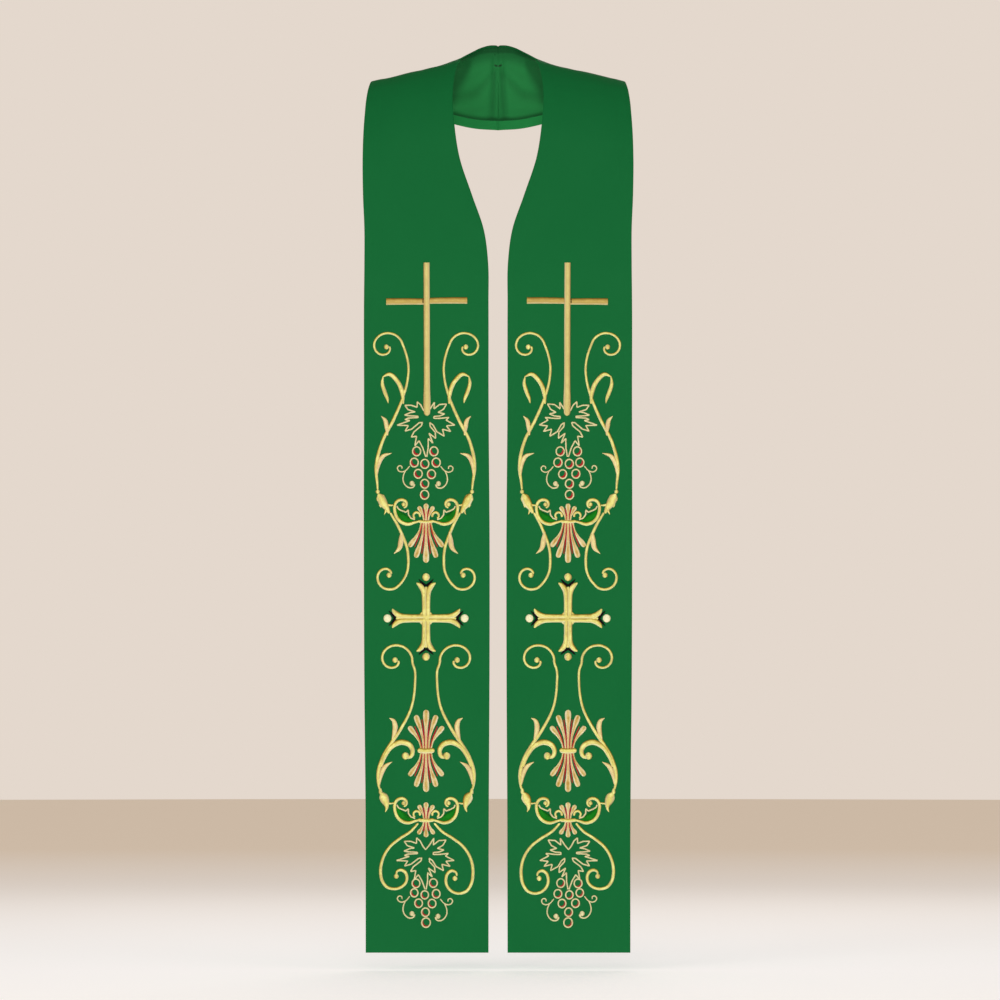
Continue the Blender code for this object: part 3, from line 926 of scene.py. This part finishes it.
def math_node(tree, operation, first, second=None):
    """One Math node: a socket or a number for each of its inputs."""
    node = tree.nodes.new("ShaderNodeMath")
    node.operation = operation
    for slot, value in enumerate((first, second)):
        if value is None:
            continue
        if isinstance(value, (int, float)):
            node.inputs[slot].default_value = value
        else:
            tree.links.new(value, node.inputs[slot])
    return node.outputs[0]


def mix_colour(tree, share, first, second):
    """One colour Mix node: a socket, a number or a colour for each of its inputs."""
    node = tree.nodes.new("ShaderNodeMix")
    node.data_type = "RGBA"
    for slot, value in ((0, share), (6, first), (7, second)):
        if isinstance(value, (int, float, tuple)):
            node.inputs[slot].default_value = value
        else:
            tree.links.new(value, node.inputs[slot])
    return node.outputs[2]


class Wiring:
    """The small nodes that a group's formula is written with, under plain names."""

    def __init__(self, tree):
        self.tree = tree

    def plus(self, first, second):
        return math_node(self.tree, "ADD", first, second)

    def minus(self, first, second):
        return math_node(self.tree, "SUBTRACT", first, second)

    def times(self, first, second):
        return math_node(self.tree, "MULTIPLY", first, second)

    def wave(self, turns):
        """The sine of a number of whole turns."""
        return math_node(self.tree, "SINE", self.times(turns, 2 * np.pi))

    def clamped(self, value):
        """The value kept between 0 and 1."""
        node = self.tree.nodes.new("ShaderNodeClamp")
        self.tree.links.new(value, node.inputs[0])
        return node.outputs[0]

    def axes(self, vector):
        """The vector's three numbers."""
        node = self.tree.nodes.new("ShaderNodeSeparateXYZ")
        self.tree.links.new(vector, node.inputs[0])
        return node.outputs

    def noise(self, vector, scale, detail, stretch=None):
        """Soft noise at a scale, drawn out along an axis where stretch gives a scale for each axis."""
        if stretch:
            mapping = self.tree.nodes.new("ShaderNodeMapping")
            mapping.inputs["Scale"].default_value = stretch
            self.tree.links.new(vector, mapping.inputs["Vector"])
            vector = mapping.outputs[0]
        node = self.tree.nodes.new("ShaderNodeTexNoise")
        node.inputs["Scale"].default_value = scale
        node.inputs["Detail"].default_value = detail
        self.tree.links.new(vector, node.inputs["Vector"])
        return node.outputs["Fac"]

    def finish(self, out, colour, height, rough):
        """The group's three results."""
        for label, value in (("Color", colour), ("Height", height), ("Roughness", rough)):
            self.tree.links.new(value, out.inputs[label])
        return self.tree


GROUP_RESULTS = (
    ("Color", "NodeSocketColor"), ("Height", "NodeSocketFloat"), ("Roughness", "NodeSocketFloat"),
)


def weave_group():
    """Cloth: warp and weft as crossing waves, long slubs along the weft, faint uneven dyeing, painted shade
    where the Shade input is above 0, and the wrong side's colour where it is below 0.
    """
    tree, given, out = new_group("woven_cloth", (
        ("Vector", "NodeSocketVector", None), ("Dye", "NodeSocketColor", (0.5, 0.5, 0.5, 1.0)),
        ("Deep Dye", "NodeSocketColor", (0.3, 0.3, 0.3, 1.0)), ("Slub", "NodeSocketFloat", 0.5),
        ("Threads", "NodeSocketFloat", 2600.0), ("Shade", "NodeSocketFloat", 0.0),
        ("Painted Shade", "NodeSocketColor", (0.1, 0.1, 0.1, 1.0)),
        ("Wrong Side", "NodeSocketColor", (0.5, 0.5, 0.5, 1.0)),
    ), GROUP_RESULTS)
    do, vector, shade = Wiring(tree), given.outputs["Vector"], given.outputs["Shade"]
    along, aside = do.axes(vector)[0:2]
    threads = given.outputs["Threads"]
    cross = do.times(do.wave(do.times(along, threads)), do.wave(do.times(aside, threads)))
    slub = do.noise(vector, 1.0, 4.0, (700.0, 45.0, 1.0))
    warp = do.noise(vector, 1.0, 3.0, (40.0, 900.0, 1.0))
    cloud = do.noise(vector, 9.0, 2.0)
    streak = do.minus(do.plus(do.times(slub, 0.6), do.times(warp, 0.4)), 0.5)
    streak = do.times(streak, given.outputs["Slub"])
    deep = do.plus(do.plus(do.times(cloud, 0.45), do.times(streak, 2.4)), do.times(cross, 0.10))
    colour = mix_colour(tree, do.clamped(deep), given.outputs["Dye"], given.outputs["Deep Dye"])
    # Painted shade: a Shade above 0 mixes the colour towards the painted shade colour, and below 0 towards
    # the wrong side's colour.
    painted_shade = math_node(tree, "MAXIMUM", shade, 0.0)
    turned = math_node(tree, "MAXIMUM", do.times(shade, -1.0), 0.0)
    colour = mix_colour(tree, painted_shade, colour, given.outputs["Painted Shade"])
    colour = mix_colour(tree, turned, colour, given.outputs["Wrong Side"])
    height = do.plus(do.times(cross, 0.5), do.times(streak, 3.0))
    return do.finish(out, colour, height, do.plus(0.62, do.times(cloud, 0.16)))


def thread_group():
    """Satin stitch: slanted threads across a line, with painted light: paler on its crown and at one edge as
    painted highlight, deeper at the other edge as painted shade, and unevenly lit by painted glints.
    """
    tree, given, out = new_group("satin_stitch", (
        ("Vector", "NodeSocketVector", None), ("Place", "NodeSocketVector", None),
        ("Crown", "NodeSocketColor", (0.8, 0.7, 0.3, 1.0)), ("Body", "NodeSocketColor", (0.5, 0.4, 0.1, 1.0)),
        ("Edge", "NodeSocketColor", (0.3, 0.2, 0.05, 1.0)), ("Patches", "NodeSocketFloat", 0.5),
        ("Shade", "NodeSocketFloat", 0.5), ("Light Edge", "NodeSocketColor", (0.9, 0.8, 0.6, 1.0)),
        ("Core", "NodeSocketFloat", 0.62), ("Edge Reach", "NodeSocketFloat", 1.0),
    ), GROUP_RESULTS)
    do, vector = Wiring(tree), given.outputs["Vector"]
    along, across = do.axes(vector)[0:2]
    side = math_node(tree, "ABSOLUTE", do.minus(do.times(across, 2.0), 1.0))
    threads = do.wave(do.times(do.plus(along, do.times(across, 0.0009)), 2400.0))
    jitter = do.noise(vector, 1.0, 2.0, (1500.0, 3.0, 1.0))
    # Painted glints: noise over the stole makes the crown paler in places and the edges less deep.
    lit = do.minus(do.noise(given.outputs["Place"], 130.0, 2.0), 0.5)
    lit = do.times(lit, given.outputs["Patches"])
    crown = do.plus(do.minus(given.outputs["Core"], side), do.times(lit, 2.6))
    crown = do.plus(crown, do.times(do.minus(jitter, 0.5), 0.9))
    edge = do.times(math_node(tree, "POWER", side, 2.0), given.outputs["Edge Reach"])
    edge = do.minus(edge, do.times(lit, 1.6))
    # Painted shade and highlight at the edges: the Edge colour towards SHADED_SIDE, the Light Edge colour on
    # the other side.
    lean = do.plus(do.times(do.minus(given.outputs["Shade"], 0.5), 1.6), 0.55)
    colour = mix_colour(tree, do.clamped(crown), given.outputs["Body"], given.outputs["Crown"])
    rim = mix_colour(tree, do.clamped(lean), given.outputs["Light Edge"], given.outputs["Edge"])
    colour = mix_colour(tree, do.clamped(edge), colour, rim)
    height = do.plus(threads, do.times(jitter, 1.5))
    return do.finish(out, colour, height, do.plus(0.34, do.times(jitter, 0.22)))


WEAVE, THREAD = weave_group(), thread_group()
BUMP_DISTANCE = 0.12 * MM


def shader_with(name, group, values, vectors, bump):
    """A material: one group into the colour, roughness and bump of a Principled shader."""
    material = bpy.data.materials.new(name)
    material.use_nodes = True
    tree = material.node_tree
    shader = tree.nodes["Principled BSDF"]
    place = tree.nodes.new("ShaderNodeTexCoord")
    made = tree.nodes.new("ShaderNodeGroup")
    made.node_tree = group
    for label, output in vectors.items():
        tree.links.new(place.outputs[output], made.inputs[label])
    for label, value in values.items():
        made.inputs[label].default_value = value
    relief = tree.nodes.new("ShaderNodeBump")
    relief.inputs["Strength"].default_value = bump
    relief.inputs["Distance"].default_value = BUMP_DISTANCE
    shade = tree.nodes.new("ShaderNodeAttribute")
    shade.attribute_name = "shade"
    tree.links.new(shade.outputs["Fac"], made.inputs["Shade"])
    tree.links.new(made.outputs["Color"], shader.inputs["Base Color"])
    tree.links.new(made.outputs["Roughness"], shader.inputs["Roughness"])
    tree.links.new(made.outputs["Height"], relief.inputs["Height"])
    tree.links.new(relief.outputs["Normal"], shader.inputs["Normal"])
    return material, shader


def cloth(name, dye, deep, painted_shade, wrong_side, slub, sheen, tint):
    """A woven cloth: its colours, among them the colour of its painted shade, how slubby it is, and its
    sheen. Colours are the eye's 0 to 255 values.
    """
    material, shader = shader_with(name, WEAVE, {
        "Dye": linear(*dye), "Deep Dye": linear(*deep), "Painted Shade": linear(*painted_shade),
        "Wrong Side": linear(*wrong_side), "Slub": slub, "Threads": 1400.0,
    }, {"Vector": "UV"}, 0.35)
    shader.inputs["Specular IOR Level"].default_value = 0.12
    shader.inputs["Sheen Weight"].default_value = sheen
    shader.inputs["Sheen Roughness"].default_value = 0.4
    shader.inputs["Sheen Tint"].default_value = linear(*tint)
    return material


def thread(name, crown, body, edge, light_edge, patches, metal=0.0, core=0.62, reach=1.0, gleam=0.4):
    """A satin-stitch thread: its colours on the crown, the body and both edges, where crown and edges are
    painted highlight and shade, its painted glints, and its gleam.
    """
    material, shader = shader_with(name, THREAD, {
        "Crown": linear(*crown), "Body": linear(*body), "Edge": linear(*edge),
        "Light Edge": linear(*light_edge), "Patches": patches, "Core": core, "Edge Reach": reach,
    }, {"Vector": "UV", "Place": "Object"}, 0.5)
    shader.inputs["Metallic"].default_value = metal
    shader.inputs["Specular IOR Level"].default_value = gleam
    return material


# Each cloth's third colour is the colour of its painted shade, mixed in where the shade attribute is above 0.
PANEL_CLOTH = cloth("panel_cloth", dye=(8, 106, 52), deep=(6, 99, 47), painted_shade=(5, 66, 30),
                    wrong_side=(34, 140, 73), slub=0.22, sheen=0.04, tint=(60, 190, 110))
LINING_CLOTH = cloth("lining_cloth", dye=(37, 136, 72), deep=(32, 126, 65), painted_shade=(14, 82, 40),
                     wrong_side=(0, 0, 0), slub=0.2, sheen=0.12, tint=(120, 205, 140))
SEAM_THREAD = thread("seam_thread", (24, 84, 44), (18, 68, 34), (10, 46, 22), (30, 92, 50), 0.3)

# Each thread: its material's name, its slot, the colours of its crown, body, edge and light edge, how strong
# its painted glints are, and what differs from a plain thread. The crown, edge and light edge colours are
# painted highlight and shade laid over the body: the edge towards SHADED_SIDE, the light edge opposite.
Dyed = namedtuple("Dyed", "name slot crown body edge light_edge patches more")
DYED = {
    "gold": Dyed("gold_thread", "gold_thread", (255, 253, 164), (234, 221, 103), (168, 132, 30),
                 (250, 250, 198), 1.0, {"metal": 0.1, "core": 0.56, "reach": 1.5}),
    "ribbed": Dyed("ribbed_gold", "gold_thread", (238, 226, 150), (218, 200, 114), (160, 122, 44),
                   (244, 234, 190), 0.3, {"metal": 0.1}),
    "bar": Dyed("bar_gold", "gold_thread", (212, 192, 108), (190, 158, 62), (138, 96, 16),
                (236, 224, 172), 0.4, {"metal": 0.1}),
    "pale": Dyed("pale_thread", "gold_thread", (254, 242, 176), (236, 214, 134), (204, 158, 96),
                 (253, 236, 206), 0.8, {"metal": 0.05}),
    "petal": Dyed("petal_thread", "cream_thread", (188, 140, 42), (228, 202, 122), (238, 218, 166),
                  (255, 248, 214), 0.8, {"core": 0.5, "reach": 1.6}),
    "cream": Dyed("cream_thread", "cream_thread", (248, 242, 190), (222, 212, 156), (182, 150, 92),
                  (238, 232, 188), 0.5, {}),
    "white": Dyed("white_thread", "white_thread", (255, 255, 216), (255, 254, 204), (238, 228, 172),
                  (255, 254, 222), 0.2, {}),
    "red": Dyed("red_thread", "red_thread", (198, 34, 26), (172, 20, 22), (118, 12, 18),
                (186, 82, 110), 0.4, {"gleam": 0.2}),
    "leaf": Dyed("leaf_thread", "leaf_thread", (14, 134, 22), (6, 118, 12), (2, 78, 10),
                 (14, 124, 20), 1.2, {"gleam": 0.1}),
    "black": Dyed("black_thread", "black_thread", (26, 20, 26), (12, 9, 14), (5, 4, 6),
                  (18, 14, 18), 0.3, {"gleam": 0.05}),
}
THREADS = {
    key: thread(d.name, d.crown, d.body, d.edge, d.light_edge, d.patches, **d.more)
    for key, d in DYED.items()
}

# Every motif: its piece's name, its thread, and the function that draws it.
MOTIFS = (
    ("cross_upright", "ribbed", cross_upright),
    ("crossbar", "bar", crossbar),
    ("upper_scrolls", "gold", upper_scrolls),
    ("spurs", "pale", spurs),
    ("upper_buds", "gold", upper_buds),
    ("lower_buds", "gold", lower_buds),
    ("lower_scrolls", "gold", lower_scrolls),
    ("heart_scrolls", "gold", heart_scrolls),
    ("base_volutes", "gold", lambda: base_volutes(UPPER_TIE) + base_volutes(LOWER_TIE)),
    ("ties", "gold", ties),
    ("flared_cross", "gold", flared_cross),
    ("cross_end_balls", "gold", lambda: cross_balls(False)),
    ("cross_side_balls", "white", lambda: cross_balls(True)),
    ("cross_chevrons", "black", cross_chevrons),
    ("painted_crossing_shadow", "black", painted_crossing_shadow),
    ("palmettes", "petal", palmettes),
    ("vine_leaves", "cream", vine_leaves),
    ("leaf_edges", "cream", lambda: leaf_edges(UPPER_TIE) + leaf_edges(LOWER_TIE)),
    ("leaf_fills", "leaf", lambda: leaf_fills(UPPER_TIE) + leaf_fills(LOWER_TIE)),
    ("grape_rings", "cream", grape_rings),
    ("tendrils", "cream", tendrils),
    ("red_threads", "red", red_threads),
)


def embroider(side, mirror):
    """Every motif of one front, one piece for each."""
    pieces = []
    for label, colour, motif in MOTIFS:
        piece = sewn(f"{label}_{side}", motif(), mirror, THREADS[colour])
        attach(piece, "root")
        pieces.append(piece)
    return pieces


def make_half(side, mirror):
    """The panel, lining and stitches of one half."""
    panel = panel_shell(f"panel_cloth_{side}", mirror, PANEL_CLOTH)
    lining = lining_shell(f"lining_cloth_{side}", mirror, LINING_CLOTH)
    stitches = slip_stitches(f"slip_stitches_{side}", mirror, SEAM_THREAD)
    tack = neck_tack(f"neck_tack_{side}", mirror, SEAM_THREAD)
    for piece in (panel, lining, stitches, tack):
        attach(piece, "root")
    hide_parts(f"panel_{side}")
    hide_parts(f"lining_{side}")
    embroidery = embroider(side, mirror)


for side, mirror in (("left", -1.0), ("right", 1.0)):
    make_half(side, mirror)


# ---------------------------------------------------------------- floor, light and camera

# In metres, like everything in this section.
FLOOR_DROP = 0.022
FLOOR_RADII = np.array([0.5, 1.5, 3.0, 5.0, 8.0])
VIEW_HEIGHT = -0.551
VIEW_DISTANCE = 14.1
VIEW_WIDTH = 1.27
MIDDLE_X = 0.0025
WALL_COLOUR = linear(228, 216, 205)


def floor_material():
    """A pale floor whose glow is painted light: it darkens with distance, towards the colour of the far wall.
    """
    material = bpy.data.materials.new("floor")
    material.use_nodes = True
    tree = material.node_tree
    shader = tree.nodes["Principled BSDF"]
    shader.inputs["Roughness"].default_value = 0.9
    shader.inputs["Specular IOR Level"].default_value = 0.1
    shader.inputs["Base Color"].default_value = linear(246, 240, 232)
    place, away = tree.nodes.new("ShaderNodeTexCoord"), tree.nodes.new("ShaderNodeVectorMath")
    away.operation = "LENGTH"
    tree.links.new(place.outputs["Object"], away.inputs[0])
    far = tree.nodes.new("ShaderNodeMapRange")
    for label, value in (("From Min", 1.2), ("From Max", 5.0)):
        far.inputs[label].default_value = value
    tree.links.new(away.outputs["Value"], far.inputs["Value"])
    # Painted light: the floor glows brightest near the stole and dims far off.
    glow = mix_colour(tree, far.outputs[0], linear(166, 171, 178), linear(134, 117, 98))
    tree.links.new(glow, shader.inputs["Emission Color"])
    shader.inputs["Emission Strength"].default_value = 1.0
    return material


def lay_floor():
    """A wide flat disc just under the hem: rings of quads round a fan of triangles."""
    angle = np.radians(np.arange(0.0, 360.0, 3.75))
    rings = FLOOR_RADII[:, None, None] * np.stack([np.cos(angle), np.sin(angle)], axis=-1)
    points = np.concatenate([[[0.0, 0.0]], rings.reshape(-1, 2)])
    points = np.column_stack([points, np.full(len(points), HEM_Z * MM - FLOOR_DROP)])
    index = 1 + np.arange(FLOOR_RADII.size * angle.size).reshape(FLOOR_RADII.size, angle.size)
    around = np.roll(index, -1, axis=1)
    bands = np.stack([index[:-1], index[1:], around[1:], around[:-1]], axis=-1).reshape(-1, 4)
    middle = np.stack([np.zeros(angle.size, int), index[0], around[0]], axis=-1)
    mesh = bpy.data.meshes.new("floor")
    mesh.from_pydata(points.tolist(), [], middle.tolist() + bands.tolist())
    mesh.materials.append(floor_material())
    floor = bpy.data.objects.new("floor", mesh)
    bpy.context.scene.collection.objects.link(floor)


def area_light(name, place, aim, size, power, colour):
    """A round soft light at a place, turned towards its aim, with a grid that narrows its spread."""
    light = bpy.data.lights.new(name, "AREA")
    light.shape = "DISK"
    light.size = size
    light.energy = power
    light.spread = np.radians(120.0)
    light.color = colour
    lamp = bpy.data.objects.new(name, light)
    bpy.context.scene.collection.objects.link(lamp)
    run = np.array(aim, float) - np.array(place, float)
    run /= np.linalg.norm(run)
    lamp.location = place
    lamp.rotation_euler = (np.arccos(-run[2]), 0.0, np.arctan2(run[1], run[0]) - np.pi / 2)


def studio_world():
    """A plain wall colour behind the stole, which lights it at half the strength that the camera sees."""
    world = bpy.data.worlds.new("studio")
    bpy.context.scene.world = world
    world.use_nodes = True
    sky = world.node_tree
    seen, lit = sky.nodes["Background"], sky.nodes.new("ShaderNodeBackground")
    seen.inputs["Color"].default_value = lit.inputs["Color"].default_value = WALL_COLOUR
    lit.inputs["Strength"].default_value = 0.5
    straight, choice = sky.nodes.new("ShaderNodeLightPath"), sky.nodes.new("ShaderNodeMixShader")
    sky.links.new(straight.outputs["Is Camera Ray"], choice.inputs[0])
    sky.links.new(lit.outputs[0], choice.inputs[1])
    sky.links.new(seen.outputs[0], choice.inputs[2])
    sky.links.new(choice.outputs[0], sky.nodes["World Output"].inputs["Surface"])


def front_camera():
    """A long lens level with the middle of the stole, straight in front of it."""
    lens = bpy.data.cameras.new("camera")
    lens.lens = lens.sensor_width * VIEW_DISTANCE / VIEW_WIDTH
    lens.clip_end = 60.0
    camera = bpy.data.objects.new("camera", lens)
    bpy.context.scene.collection.objects.link(camera)
    camera.location = (MIDDLE_X, FRONT_Y * MM - VIEW_DISTANCE, VIEW_HEIGHT)
    camera.rotation_euler = (np.pi / 2, 0.0, 0.0)
    bpy.context.scene.camera = camera


lay_floor()
area_light("key", (-1.8, -3.6, 0.5), (0.0, 0.0, -0.5), 1.8, 12.3, (1.0, 0.98, 0.95))
area_light("fill", (2.2, -3.2, -0.3), (0.0, 0.0, -0.6), 2.2, 6.2, (1.0, 0.98, 0.96))
area_light("front", (0.0, -5.5, 0.2), (0.0, 0.0, -0.5), 1.6, 28.5, (1.0, 0.99, 0.97))
area_light("back", (0.4, 2.8, 1.2), (0.0, 0.0, -0.4), 2.0, 8.5, (1.0, 0.98, 0.96))
studio_world()
front_camera()
bpy.context.scene.view_settings.view_transform = "Standard"
